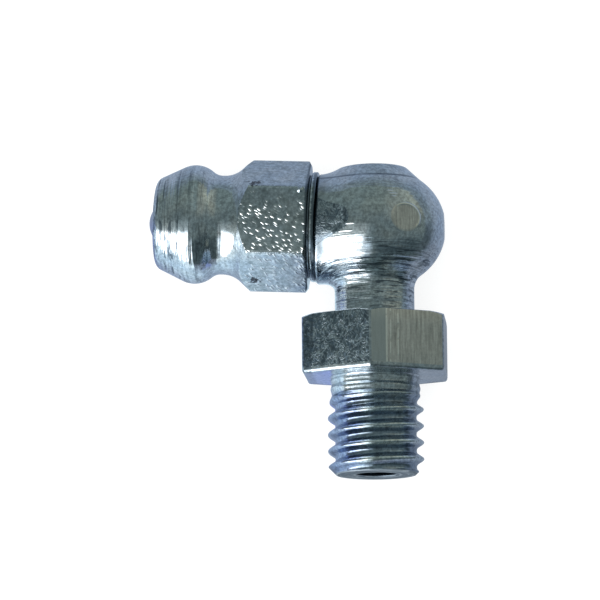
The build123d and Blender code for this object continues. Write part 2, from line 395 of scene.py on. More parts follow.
def large_hexagon(phi):
    """Rows of the large hexagon: its upper edge, its flats and its rounded lower edge."""
    bar = hexagon_radius(phi, BAR_FLATS, BAR_ROUND)
    corner = BAR_FLATS / 2 / cos(pi / 6)
    chamfer_from = corner - HEX_CHAMFER / tan(radians(HEX_CHAMFER_ANGLE))
    top = edge_rows(bar, chamfer_from, HEX_TOP, HEX_CHAMFER_ANGLE, HEX_EDGE_ROUND, 1)
    bottom = [
        (
            bar - HEX_LOWER_EDGE_IN + HEX_LOWER_EDGE_IN * cos(radians(a)),
            HEX_BOTTOM + HEX_LOWER_EDGE_UP - HEX_LOWER_EDGE_UP * sin(radians(a)),
        )
        for a in (0, 12, 24, 36, 48, 60, 75, 90)
    ]
    flat = [(bar, top[-1][1] + (bottom[0][1] - top[-1][1]) * s) for s in (0.25, 0.5, 0.75)]
    return [ring(phi, r, z) for r, z in top + flat + bottom]


def build_body():
    phi = body_columns()
    shell = Shell()
    foot = [(NECK_RADIUS, NECK_LOW), (NECK_RADIUS, HEX_TOP), (3.5, HEX_TOP)]
    foot = filleted(foot, 1, NECK_FOOT_FILLET, 4)
    upper = list(ball_points(phi)) + [ring(phi, r, z) for r, z in foot[1:]]
    upper += large_hexagon(phi) + [ring(phi, 3.7, HEX_BOTTOM)]
    shell.add(upper)
    # below the hexagon half as many columns are enough
    half = phi[::2]
    n = len(half)
    runout = [(3.4, HEX_BOTTOM), (RUNOUT_RADIUS, HEX_BOTTOM), (RUNOUT_RADIUS, HEX_BOTTOM - 0.9)]
    runout = filleted(runout, 1, RUNOUT_FILLET, 4)
    top_of_thread = HEX_BOTTOM - RUNOUT_LENGTH
    levels = np.linspace(HEX_BOTTOM - 0.14, top_of_thread, 22)
    wall = [(RUNOUT_RADIUS + runout_wave(z), z) for z in levels]
    start = shell.add([ring(half, r, z) for r, z in runout[:-1] + wall])
    last = start - len(phi)
    for j in range(n):
        k = (j + 1) % n
        shell.faces.append(
            (last + 2 * j, start + j, start + k, last + (2 * k) % len(phi), last + 2 * j + 1)
        )
    shell.add(thread_points(half, top_of_thread, SHANK_END), -ROWS_PER_TURN)
    end_face_and_drilling = [
        (THREAD_RADIUS - SHANK_CHAMFER, SHANK_END),
        (2.0, SHANK_END),
        (1.6, SHANK_END),
        (DRILLING_RADIUS + DRILLING_EDGE, SHANK_END),
        (DRILLING_RADIUS, SHANK_END + DRILLING_EDGE),
        (DRILLING_RADIUS, SHANK_END + 1),
        (DRILLING_RADIUS, SHANK_END + 4),
        (DRILLING_RADIUS, DRILLING_TOP - DRILLING_CONE),
        (0.001, DRILLING_TOP),
    ]
    shell.add([ring(half, r, z) for r, z in end_face_and_drilling])
    return mesh_object("elbow_body_finish", body_to_row(shell.points), shell.faces)


# ------------------------------ nipple head
def build_head():
    phi = np.linspace(0, 2 * pi, HEAD_COLUMNS, endpoint=False)
    bar = hexagon_radius(phi, HEAD_FLATS, HEAD_ROUND)
    slope, nose = radians(FLARE_ANGLE), radians(NOSE_ANGLE)
    groove = CREST_RADIUS - GROOVE_DEPTH
    ring_radius = CREST_RADIUS - CREST_ARC
    shoulder = acos((groove + GROOVE_FILLET - ring_radius) / (CREST_ARC + GROOVE_FILLET))
    groove_centre = (groove + GROOVE_FILLET, CREST_AT - (CREST_ARC + GROOVE_FILLET) * sin(shoulder))
    foot = (groove, groove_centre[1] - GROOVE_LENGTH)
    out = HEAD_FLATS / 2 / cos(pi / 6) + 0.5
    flare_top = (out, foot[1] - (out - groove) / tan(slope))
    nose_foot = (ring_radius + CREST_ARC * cos(nose), CREST_AT + CREST_ARC * sin(nose))
    tip = (nose_foot[0] - (HEAD_LENGTH - nose_foot[1]) * tan(nose), HEAD_LENGTH)
    rear = COLLAR + RELIEF
    outline = [
        (PASSAGE, -STUB_LENGTH),
        (STUB_RADIUS - STUB_CHAMFER, -STUB_LENGTH),
        (STUB_RADIUS, STUB_CHAMFER - STUB_LENGTH),
        (STUB_RADIUS, 0),
        (COLLAR_RADIUS - COLLAR_EDGE, 0),
        (COLLAR_RADIUS, COLLAR_EDGE),
        (COLLAR_RADIUS, COLLAR - COLLAR_EDGE),
        (COLLAR_RADIUS - COLLAR_EDGE, COLLAR),
        (RELIEF_RADIUS + COLLAR_EDGE, COLLAR),
        (RELIEF_RADIUS, COLLAR + COLLAR_EDGE),
        (RELIEF_RADIUS, rear - COLLAR_EDGE),
        (RELIEF_RADIUS + COLLAR_EDGE, rear),
    ]
    back = edge_rows(bar, REAR_RADIUS, rear, REAR_ANGLE, HEAD_EDGE_ROUND, -1)
    back_wall = back[-1][1]
    # the flare cuts the flats along a curve
    inner = bar - HEAD_EDGE_ROUND
    line = flare_top[1] + (out - inner) / tan(slope) - HEAD_EDGE_ROUND / sin(slope)
    front = [
        (inner + HEAD_EDGE_ROUND * cos(radians(a)), line + HEAD_EDGE_ROUND * sin(radians(a)))
        for a in (0, 12, 24, 36, 90 - FLARE_ANGLE)
    ]
    flat = [(bar, back_wall + (front[0][1] - back_wall) * s) for s in (0.25, 0.5, 0.75)]
    flare = filleted([flare_top, foot, (groove, groove_centre[1])], 1, FLARE_FILLET, 22)
    tangent, first = flare[1], front[-1]
    slant = [
        (first[0] + (tangent[0] - first[0]) * s, first[1] + (tangent[1] - first[1]) * s)
        for s in (0.2, 0.4, 0.6, 0.8)
    ]
    shoulder_arc = arc(groove_centre, GROOVE_FILLET, pi, pi - shoulder, 10)
    crest_arc = arc((ring_radius, CREST_AT), CREST_ARC, -shoulder, nose, 30)
    mouth = valve_outline()
    front_face = filleted([nose_foot, tip, (mouth[0][0], HEAD_LENGTH)], 1, TIP_FILLET, 12)
    outline += back + flat + front + slant
    outline += (
        flare[1:-1]
        + spaced([flare[-2], shoulder_arc[0]], WALL_STEP)[1:]
        + shoulder_arc[1:]
        + crest_arc[1:]
        + spaced([nose_foot, front_face[1]], WALL_STEP)[1:]
        + front_face[2:-1]
        + spaced([front_face[-2], mouth[0]], WALL_STEP)[1:]
        + mouth[1:]
    )
    shell = Shell()
    shell.add([ring(phi, r, z) for r, z in outline])
    return mesh_object("nipple_head_finish", head_to_row(shell.points), shell.faces)


def valve_outline():
    """The bore from the mouth inwards: edge, seat, bore, spring ledge, passage."""
    seat = radians(VALVE_SEAT_ANGLE)
    reach = VALVE_BALL_RADIUS + VALVE_CLEARANCE
    contact = (reach * cos(seat), BALL_CENTRE + reach * sin(seat))
    mouth = contact[0] - (HEAD_LENGTH - contact[1]) * tan(seat)
    return [
        (mouth + MOUTH_EDGE, HEAD_LENGTH),
        (mouth, HEAD_LENGTH - MOUTH_EDGE),
        contact,
        (VALVE_BORE, contact[1] - (VALVE_BORE - contact[0]) / tan(seat)),
        (VALVE_BORE, 6.0),
        (VALVE_BORE, SPRING_LEDGE),
        (PASSAGE, SPRING_LEDGE),
        (PASSAGE, -STUB_LENGTH),
    ]


# ------------------------------ valve
def build_ball():
    work = bmesh.new()
    bmesh.ops.create_icosphere(work, subdivisions=6, radius=VALVE_BALL_RADIUS)
    points = np.array([v.co for v in work.verts]) + np.array([0, 0, BALL_CENTRE])
    faces = [[v.index for v in f.verts] for f in work.faces]
    work.free()
    return mesh_object("check_ball_finish", head_to_row(points), faces)


def build_spring():
    low = SPRING_LEDGE + SPRING_WIRE / 2
    climb = SPRING_TOP - low
    rise = climb / (2 * pi * SPRING_TURNS * SPRING_RADIUS)
    sides, along = 16, 48 * SPRING_TURNS
    shell, rows = Shell(), []
    for i in range(along + 1):
        t = i / along
        a = 2 * pi * SPRING_TURNS * t
        centre = np.array([SPRING_RADIUS * cos(a), SPRING_RADIUS * sin(a), low + climb * t])
        outward = np.array([cos(a), sin(a), 0])
        heading = np.array([-sin(a), cos(a), rise])
        heading /= np.linalg.norm(heading)
        upward = np.cross(outward, heading)
        w = np.linspace(0, 2 * pi, sides, endpoint=False)
        rows.append(
            centre
            + SPRING_WIRE / 2 * (np.cos(w)[:, None] * outward + np.sin(w)[:, None] * upward)
        )
    shell.add(rows)
    last = len(shell.points) - 1
    shell.faces += [tuple(range(sides)), tuple(range(last, last - sides, -1))]
    return mesh_object("check_spring_finish", head_to_row(shell.points), shell.faces)


# ------------------------------ build
body = build_body()
head = build_head()
ball = build_ball()
spring = build_spring()
for piece, node, carrier, slot in (
    (body, "elbow_body", "fitting", "zinc_plated_steel"),
    (head, "nipple_head", "fitting", "zinc_plated_steel"),
    (ball, "check_ball", "valve_ball", "ball_steel"),
    (spring, "check_spring", "fitting", "spring_wire"),
):
    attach(piece, carrier)
    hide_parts(node)
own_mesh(spring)

# ------------------------------ camera
# the photograph's own pose: about 250 mm away, looking a little up the thread
TILT, YAW, ROLL = radians(-9.214), radians(-4.34), radians(0.44)
EYE_RIGHT, EYE_UP, EYE_DISTANCE = -4.465, -4.329, 250.0
IMAGE_WIDTH, SENSOR_WIDTH, FOCAL_PIXELS = 600, 36, 4133.5


def photo_camera():
    """Adds the camera and hands back its right, up and backward directions in the row frame."""
    tilt = np.array([[1, 0, 0], [0, cos(TILT), -sin(TILT)], [0, sin(TILT), cos(TILT)]])
    yaw = np.array([[cos(YAW), 0, sin(YAW)], [0, 1, 0], [-sin(YAW), 0, cos(YAW)]])
    roll = np.array([[cos(ROLL), -sin(ROLL), 0], [sin(ROLL), cos(ROLL), 0], [0, 0, 1]])
    upright = np.array([[1, 0, 0], [0, 0, 1], [0, -1, 0]])
    view_axes = roll @ tilt @ yaw @ upright
    eye = np.array([EYE_RIGHT, EYE_UP, EYE_DISTANCE]) @ view_axes
    axes = view_axes @ BODY_FRAME
    data = bpy.data.cameras.new("camera")
    data.sensor_width = SENSOR_WIDTH
    data.lens = FOCAL_PIXELS / IMAGE_WIDTH * SENSOR_WIDTH
    data.clip_start = 0.01
    data.clip_end = 10
    camera = bpy.data.objects.new("camera", data)
    placement = Matrix([list(row) for row in axes.T]).to_4x4()
    placement.translation = Vector(body_to_row([eye])[0])
    camera.matrix_world = placement
    bpy.context.scene.collection.objects.link(camera)
    bpy.context.scene.camera = camera
    return axes


axes = photo_camera()


# ------------------------------ node helpers
# the colour sockets of a Mix node, whose names repeat those of its other sockets
MIX_FACTOR, MIX_A, MIX_B, MIX_RESULT = 0, 6, 7, 2


def is_socket(value):
    return isinstance(value, bpy.types.NodeSocket)


class Graph:
    """Short calls that add shader nodes and hand back their output sockets."""

    def __init__(self, tree):
        self.tree = tree
        self.nodes = tree.nodes

    def add(self, kind, inputs=(), out=0, **settings):
        made = self.nodes.new(kind)
        for key, value in settings.items():
            setattr(made, key, value)
        items = inputs.items() if isinstance(inputs, dict) else enumerate(inputs)
        for key, value in items:
            if is_socket(value):
                self.tree.links.new(value, made.inputs[key])
            else:
                made.inputs[key].default_value = value
        return made.outputs[out]

    def math(self, operation, *inputs):
        return self.add("ShaderNodeMath", inputs, operation=operation)

    def chain(self, operation, total, *others):
        for value in others:
            total = self.math(operation, total, value)
        return total

    def mul(self, *values):
        return self.chain("MULTIPLY", *values)

    def plus(self, *values):
        return self.chain("ADD", *values)

    def most(self, *values):
        """The largest of some values."""
        return self.chain("MAXIMUM", *values)

    def minus(self, a, b):
        return self.math("SUBTRACT", a, b)

    def step(self, value, low, high, start=0.0, end=1.0):
        """A soft step: start below low, end above high."""
        inputs = {"Value": value, "From Min": low, "From Max": high, "To Min": start, "To Max": end}
        return self.add("ShaderNodeMapRange", inputs, interpolation_type="SMOOTHSTEP")

    def bump_at(self, value, centre, width):
        """1 where a value is at its centre, falling softly to 0 half a width away."""
        away = self.math("ABSOLUTE", self.minus(value, centre))
        return self.step(away, 0.0, width / 2, 1.0, 0.0)

    def vector(self, x, y, z):
        return self.add("ShaderNodeCombineXYZ", (x, y, z))

    def dot(self, vector, axis):
        axis = tuple(float(v) for v in axis)
        return self.add("ShaderNodeVectorMath", (vector, axis), "Value", operation="DOT_PRODUCT")

    def distance(self, vector, place):
        return self.add("ShaderNodeVectorMath", (vector, place), "Value", operation="DISTANCE")

    def noise(self, vector, scale, detail=2.0, roughness=0.5, distortion=0.0):
        names = ("Vector", "Scale", "Detail", "Roughness", "Distortion")
        values = (vector, scale, detail, roughness, distortion)
        return self.add("ShaderNodeTexNoise", dict(zip(names, values)))

    def mix(self, factor, a, b, blend="MIX"):
        """Mixes two colours."""
        made = self.nodes.new("ShaderNodeMix")
        made.data_type = "RGBA"
        made.blend_type = blend
        for index, value in ((MIX_FACTOR, factor), (MIX_A, a), (MIX_B, b)):
            if is_socket(value):
                self.tree.links.new(value, made.inputs[index])
            else:
                made.inputs[index].default_value = value if index == MIX_FACTOR else (*value, 1)
        return made.outputs[MIX_RESULT]

    def layers(self, colour, *layers):
        """A colour with others laid over it in turn, each by its own mask."""
        for mask, layer in layers:
            colour = self.mix(mask, colour, layer)
        return colour

    def shade(self, colour, amount):
        """A colour made darker or lighter by a value."""
        return self.mix(1.0, colour, self.vector(amount, amount, amount), "MULTIPLY")


# ------------------------------ materials
# In the masks, places and widths are in millimetres and noises go from 0 to 1.
# linear colours of the zinc, of what dulls it and of what brightens it, among them painted shade
# and painted highlights
ZINC, ZINC_COOL, ZINC_PLAIN = (0.6, 0.645, 0.68), (0.56, 0.62, 0.67), (0.63, 0.66, 0.67)
DARK, NICK_DARK = (0.1, 0.13, 0.16), (0.03, 0.03, 0.04)
WHITE, WARM_WHITE, PAINTED_RIM_HIGHLIGHT = (1.0, 1.0, 1.0), (1.0, 1.0, 0.95), (1.0, 1.0, 0.92)
SCORE_BRIGHT, PALE_FLAT, DULL_FLAT = (0.95, 0.97, 1.0), (0.9, 0.95, 1.0), (0.25, 0.3, 0.3)
ETCHED_DARK, ETCHED_LIGHT = (0.19, 0.24, 0.29), (0.31, 0.37, 0.42)
ETCHED_STROKE = (0.66, 0.72, 0.77)
DRAWN_FLAT, SMOOTH_STRIP, FACED_END = (0.66, 0.65, 0.62), (0.5, 0.56, 0.58), (0.36, 0.41, 0.45)
BOSS_STRIPE, BOSS_VEIL = (0.2, 0.27, 0.36), (0.15, 0.18, 0.2)
# what the thread's hollows and crests, and the hollows on its left, are multiplied by: painted
# shade in the hollows and on the left, a painted highlight on the crests
THREAD_HOLLOW_SHADE, THREAD_CREST_HIGHLIGHT, THREAD_LEFT_SHADE = (0.56, 0.62, 0.7), (1.25, 1.25, 1.22), (0.45, 0.5, 0.7)
# heights of relief, in millimetres
GRAIN_HEIGHT, FINE_LINE_HEIGHT, WIDE_LINE_HEIGHT = 0.002, 0.012, 0.09
STROKE_HEIGHT, ETCHED_GRAIN_HEIGHT, DRAWN_HEIGHT, SCORE_HEIGHT = 0.004, 0.005, 0.014, 0.006
OVAL_RIM_HEIGHT, MARK_HEIGHT = 0.03, 0.02
SPECK_HEIGHT, HEAD_GRAIN_HEIGHT, CORNER_BURR_HEIGHT = 0.031, 0.008, 0.12
# roughness of the zinc, and what grain and each kind of flat add to it
ROUGHNESS, GRAIN_ROUGHNESS = 0.09, 0.06
ETCHED_ROUGHNESS, DRAWN_ROUGHNESS, HEAD_FLAT_ROUGHNESS, END_ROUGHNESS = 0.06, 0.08, 0.05, 0.3
# single tool marks on the ball, painted white as glints: height on it, and where each starts and
# ends across it
LEFT_MARKS = (-0.4, -1.5, -0.85), (-0.82, -1.95, -1.0)
RIGHT_MARKS = (1.6, 0.9, 1.5), (1.42, 1.05, 1.75), (1.25, 1.2, 1.7)


def metal(name, colour, roughness):
    """A metal with its graph and shader.

    finish_surface links colour and roughness over these plain ones, which a viewport shows.
    """
    material = bpy.data.materials.new(name)
    material.use_nodes = True
    shader = material.node_tree.nodes["Principled BSDF"]
    shader.inputs["Base Color"].default_value = (*colour, 1)
    shader.inputs["Metallic"].default_value = 1.0
    shader.inputs["Roughness"].default_value = roughness
    return material, Graph(material.node_tree), shader


def finish_surface(g, shader, height, roughness, colour):
    """Links a height in millimetres, a roughness and a colour to the shader."""
    bump = g.add("ShaderNodeBump", {"Strength": 1.0, "Distance": 0.001, "Height": height})
    g.tree.links.new(bump, shader.inputs["Normal"])
    g.tree.links.new(roughness, shader.inputs["Roughness"])
    g.tree.links.new(colour, shader.inputs["Base Color"])


def local_coordinates(g, origin, axes):
    """The surface point in millimetres along three axes, and its radius from the third."""
    place = g.add("ShaderNodeTexCoord", out="Object")
    centre = tuple(float(v) / 1000 for v in origin)
    offset = g.add("ShaderNodeVectorMath", (place, centre), operation="SUBTRACT")
    x, y, z = (g.dot(offset, np.array(axis) * 1000) for axis in axes)
    radius = g.math("SQRT", g.plus(g.mul(x, x), g.mul(y, y)))
    return x, y, z, radius


def turning_rings(g, x, y, z, radius, fine, round_about):
    """Lines that run round an axis, uneven along it and broken here and there round it."""
    safe = g.most(radius, 0.05)
    about = g.plus(
        g.mul(g.math("DIVIDE", x, safe), round_about),
        g.mul(g.math("DIVIDE", y, safe), round_about * 0.8),
    )
    spread = g.vector(g.mul(z, fine), g.mul(radius, fine), about)
    return g.noise(spread, 1.0, 2.5, 0.6)


def bar_faces(g, x, y, flats, *angles):
    """1 on the flats of a hexagon bar that face these angles."""
    masks = []
    for angle in angles:
        turn = radians(angle)
        reach = g.plus(g.mul(x, cos(turn)), g.mul(y, sin(turn)))
        masks.append(g.step(reach, flats / 2 - 0.02, flats / 2 - 0.006))
    return g.most(*masks)


def plating(g, place):
    """The zinc's tint, with its fine grain, and its soft change from place to place."""
    soft = g.noise(place, 0.8, 2.0, 0.5)
    grain = g.noise(place, 5.5, 4.0, 0.62)
    smudge = g.noise(place, 1.5, 6.0, 0.72, 0.4)
    tint = g.mix(g.step(soft, 0.35, 0.7), ZINC_COOL, ZINC_PLAIN)
    tint = g.mix(g.mul(g.step(smudge, 0.53, 0.62), 0.3), tint, DARK)
    return g.shade(tint, g.step(grain, 0.25, 0.75, 0.66, 1.3)), grain, soft


def turned_finish(g, x, y, z, radius, depth, tint):
    """Lathe lines: a height, the tint with dark and bright scores in it, and the fine lines."""
    fine = turning_rings(g, x, y, z, radius, 7.5, 1.2)
    wide = turning_rings(g, x, y, z, radius, 3.1, 0.7)
    score = turning_rings(g, x, y, z, radius, 4.6, 2.2)
    lines = g.plus(g.mul(fine, FINE_LINE_HEIGHT), g.mul(wide, WIDE_LINE_HEIGHT))
    scored = g.step(depth, 0.3, 0.9)
    tint = g.layers(
        g.shade(tint, g.plus(1.0, g.mul(g.minus(fine, 0.5), depth, 1.6))),
        (g.mul(g.step(score, 0.56, 0.61), scored, 0.85), DARK),
        (g.mul(g.step(score, 0.42, 0.36), scored, 0.45), SCORE_BRIGHT),
    )
    return g.mul(lines, depth), tint, fine


def etched_finish(g, place, grain):
    """Pale curling strokes on a dark mottled ground, as a height and a colour."""
    curls = g.noise(place, 2.1, 1.0, 0.5, 2.4)
    patches = g.noise(place, 1.3, 3.0, 0.6)
    ridge = g.math("ABSOLUTE", g.minus(curls, 0.5))
    stroke = g.mul(g.step(ridge, 0.0, 0.08, 1.0, 0.0), g.step(patches, 0.36, 0.56, 0.5, 1.0))
    height = g.plus(g.mul(stroke, STROKE_HEIGHT), g.mul(grain, ETCHED_GRAIN_HEIGHT))
    ground = g.mix(g.step(patches, 0.4, 0.6), ETCHED_DARK, ETCHED_LIGHT)
    colour = g.mix(stroke, ground, ETCHED_STROKE)
    return height, g.shade(colour, g.step(grain, 0.3, 0.7, 0.6, 1.3))


def body_line_depth(g, z, from_seat, hexagon):
    """How deep the body's lathe lines are: deepest under the ball and down the neck."""
    depth = g.plus(
        0.15,
        g.mul(g.step(z, -0.6, -1.9), 0.85),
        g.mul(g.bump_at(z, 1.9, 1.2), 0.45),
        g.mul(g.bump_at(z, -3.3, 3.0), 0.9),
    )
    below = g.step(z, HEX_BOTTOM - 0.9, HEX_BOTTOM - 0.4, 0.2, 0.28)
    runout = g.step(z, HEX_BOTTOM, HEX_BOTTOM + 0.5, 1.0, 2.5)
    boss = g.step(from_seat, SEAT - 1.6, SEAT - 0.6, 1.0, 0.35)
    return g.mul(depth, below, runout, boss, g.minus(1.0, hexagon))


def boss_darkening(g, y, z, from_seat, grain, tint):
    """The dark rim of the boss, and the scuffs, stripes and veil on its lower side."""
    rim = g.mul(g.step(from_seat, SEAT - 0.25, SEAT - 0.1), g.step(grain, 0.35, 0.6, 1.0, 0.5))
    rim = g.mul(rim, g.minus(1.0, g.bump_at(z, -1.9, 1.6)))
    scuffed = g.mul(
        g.step(from_seat, SEAT - 1.1, SEAT - 0.2), g.step(z, -2.5, -1.1), g.step(grain, 0.42, 0.55)
    )
    veil = g.mul(g.bump_at(from_seat, SEAT - 0.45, 0.95), g.bump_at(z, -1.7, 2.8))
    veil = g.mul(veil, g.step(grain, 0.3, 0.6, 0.75, 1.0))
    stripes = g.vector(g.mul(from_seat, 1.8), g.mul(z, 4.6), g.mul(y, 1.5))
    stripes = g.step(g.noise(stripes, 1.0, 2.0, 0.6, 0.3), 0.5, 0.58)
    stripes = g.mul(stripes, g.step(from_seat, SEAT - 0.95, SEAT - 0.5), g.step(z, -0.6, -1.2))
    return g.layers(
        tint,
        (g.plus(rim, g.mul(scuffed, 0.5)), DARK),
        (g.mul(stripes, 0.45), BOSS_STRIPE),
        (veil, BOSS_VEIL),
    )


def thread_tint(g, y, z, radius, across, tint):
    """The tint with painted shade in the thread's hollows, deepest on its left, and painted
    highlights on its crests.
    """
    threaded = g.step(z, HEX_BOTTOM - 0.8, HEX_BOTTOM - 1.3)
    shaded_left = g.mul(g.step(across, -1.7, -2.3), g.step(y, 1.0, -1.0))
    thread_shading = g.mix(g.step(radius, 2.6, 2.86), THREAD_HOLLOW_SHADE, THREAD_CREST_HIGHLIGHT)
    thread_shading = g.mix(g.mul(shaded_left, 0.85), thread_shading, THREAD_LEFT_SHADE)
    return g.mix(threaded, tint, g.mix(1.0, tint, thread_shading, "MULTIPLY"))


def glinting_tool_marks(g, x, y, z):
    """1 on the few single tool marks on the front of the ball, which are painted white as glints.
    """
    marks = []
    for level, start, end in LEFT_MARKS + RIGHT_MARKS:
        reach = g.mul(g.step(x, start, start + 0.2), g.step(x, end, end - 0.2))
        marks.append(g.mul(g.bump_at(z, level, 0.11), reach))
    return g.mul(g.plus(*marks), g.step(y, -1.0, -1.5))


def body_material():
    material, g, shader = metal("zinc_body", ZINC, 0.14)
    x, y, z, radius = local_coordinates(g, ORIGIN, BODY_FRAME)
    place = g.vector(x, y, z)
    from_seat = g.plus(g.mul(x, HEAD_LOCAL[0]), g.mul(z, HEAD_LOCAL[2]))
    across = g.plus(g.mul(x, cos(radians(30))), g.mul(y, 0.5))
    tint, grain, soft = plating(g, place)
    hexagon = g.mul(g.step(z, HEX_TOP + 0.3, HEX_TOP + 0.2), g.step(radius, 2.9, 3.1))
    depth = body_line_depth(g, z, from_seat, hexagon)
    turned, lined, rings = turned_finish(g, x, y, z, radius, depth, tint)
    # the bar's flats: drawn lines on three of them and etched on the others, all but the rounded
    # lower edge of the hexagon, which stays bright
    off_edge = g.step(z, HEX_BOTTOM + 0.27, HEX_BOTTOM + 0.33)
    front = g.mul(bar_faces(g, x, y, BAR_FLATS, -60), off_edge)
    drawn_side = g.mul(bar_faces(g, x, y, BAR_FLATS, -60, 0, 60), off_edge)
    etched_side = g.mul(bar_faces(g, x, y, BAR_FLATS, -120, 180, 120), off_edge)
    on_flat = g.most(drawn_side, etched_side)
    etched, etched_colour = etched_finish(g, place, grain)
    # the hexagon's front flat: a smooth strip, three bright scores, then fine drawn lines
    lines = g.noise(g.vector(g.mul(across, 7.0), g.mul(z, 0.5), 3.0), 1.0, 3.0, 0.65)
    on_hexagon = g.mul(front, g.step(z, HEX_TOP + 0.4, HEX_TOP + 0.3))
    smooth_strip = g.mul(on_hexagon, g.step(across, -1.36, -1.42))
    drawn = g.mul(drawn_side, g.minus(1.0, smooth_strip))
    scores = g.plus(
        g.bump_at(across, -1.36, 0.2), g.bump_at(across, -1.1, 0.16), g.bump_at(across, -0.6, 0.18)
    )
    broken = g.step(g.noise(g.vector(across, z, 7.0), 1.6), 0.35, 0.5)
    scores = g.mul(scores, on_hexagon, broken)
    streaks = g.plus(1.0, g.mul(g.minus(lines, 0.5), drawn, 1.5), g.mul(g.minus(grain, 0.5), 0.6))
    strip = g.shade(SMOOTH_STRIP, g.plus(0.72, g.mul(lines, 0.5)))
    # the upper right rim of the oval that the bar's flat leaves on the ball, with a painted
    # highlight along it
    run, rise = g.math("DIVIDE", across, 0.93), g.math("DIVIDE", z, 0.83)
    oval = g.math("SQRT", g.plus(g.mul(run, run), g.mul(rise, rise)))
    oval_rim_highlight = g.mul(
        g.bump_at(oval, 1.0, 0.26),
        g.step(g.plus(across, z), -0.2, 0.5),
        g.step(y, 0.0, -1.0),
    )
    # a dark line painted round the crease at the foot of the crown's cone
    crown_line = g.mul(g.bump_at(z, CONE_FOOT, 0.24), g.step(soft, 0.25, 0.45, 0.6, 1.0))
    marks = glinting_tool_marks(g, x, y, z)
    end = g.step(z, SHANK_END + 0.1, SHANK_END + 0.03)
    tint = g.layers(
        g.mix(on_flat, lined, tint),
        (etched_side, etched_colour),
        (drawn_side, g.shade(DRAWN_FLAT, streaks)),
        (g.mul(smooth_strip, 0.8), strip),
        (scores, WARM_WHITE),
        (g.mul(crown_line, 0.9), DARK),
    )
    # darker marks laid on the boss: its rim, scuffs, stripes and a veil on its lower side
    tint = boss_darkening(g, y, z, from_seat, grain, tint)
    tint = g.layers(
        thread_tint(g, y, z, radius, across, tint),
        # painted glints, in white, on the tool marks at the front of the ball
        (g.mul(marks, 0.8), WHITE),
        # a painted highlight, near white, on the upper right of the oval's rim
        (g.mul(oval_rim_highlight, 0.85), PAINTED_RIM_HIGHLIGHT),
        # painted shade on the shank's end face
        (g.mul(end, 0.9), g.mix(g.step(rings, 0.47, 0.6), DARK, FACED_END)),
    )
    height = g.plus(
        g.mul(turned, g.minus(1.0, on_flat)),
        g.mul(etched, etched_side),
        g.mul(drawn, lines, DRAWN_HEIGHT),
        g.mul(scores, SCORE_HEIGHT),
        g.mul(grain, GRAIN_HEIGHT),
        g.mul(oval_rim_highlight, OVAL_RIM_HEIGHT),
        g.mul(marks, MARK_HEIGHT),
    )
    rough = g.plus(
        ROUGHNESS,
        g.mul(grain, GRAIN_ROUGHNESS),
        g.mul(etched_side, ETCHED_ROUGHNESS),
        g.mul(drawn_side, DRAWN_ROUGHNESS),
        g.mul(end, END_ROUGHNESS),
    )
    # the end face is painted dark as shade, and made less of a mirror
    g.tree.links.new(g.minus(1.0, g.mul(end, 0.7)), shader.inputs["Metallic"])
    finish_surface(g, shader, height, rough, tint)
    return material


def hammered_speck_glints(g, y, z, place):
    """Short strokes that slant down towards the joint, painted bright as glints: their mask and
    their domes.
    """
    cross = g.plus(g.mul(y, 0.87), g.mul(z, 0.5))
    along = g.minus(g.mul(y, 0.5), g.mul(z, 0.87))
    bent = g.mul(g.minus(g.noise(place, 2.0), 0.5), 1.6)
    slanted = g.vector(g.plus(g.mul(cross, 6.2), bent), g.mul(along, 2.2), 0.0)
    inputs = {"Vector": slanted, "Scale": 1.0}
    cells = g.add("ShaderNodeTexVoronoi", inputs, voronoi_dimensions="2D")
    chance = g.dot(cells.node.outputs["Color"], (1.0, 0.0, 0.0))
    crowd = g.plus(g.noise(place, 1.1, 1.0, 0.5), g.mul(g.step(y, -1.9, 0.3), 0.3))
    speck = g.mul(
        g.step(cells, 0.44, 0.26),
        g.step(chance, 0.15, 0.9),
        g.step(y, -1.9, -1.2),
        g.step(crowd, 0.5, 0.7),
        g.step(y, 1.9, 2.2, 1.0, 0.8),
    )
    burr = g.mul(
        g.step(z, 1.25, 0.9), g.step(y, 1.3, 2.0), g.step(y, 3.1, 2.7), g.step(cells, 0.62, 0.45)
    )
    marks = g.most(speck, burr)
    return marks, g.mul(g.step(cells, 0.44, 0.0), marks)


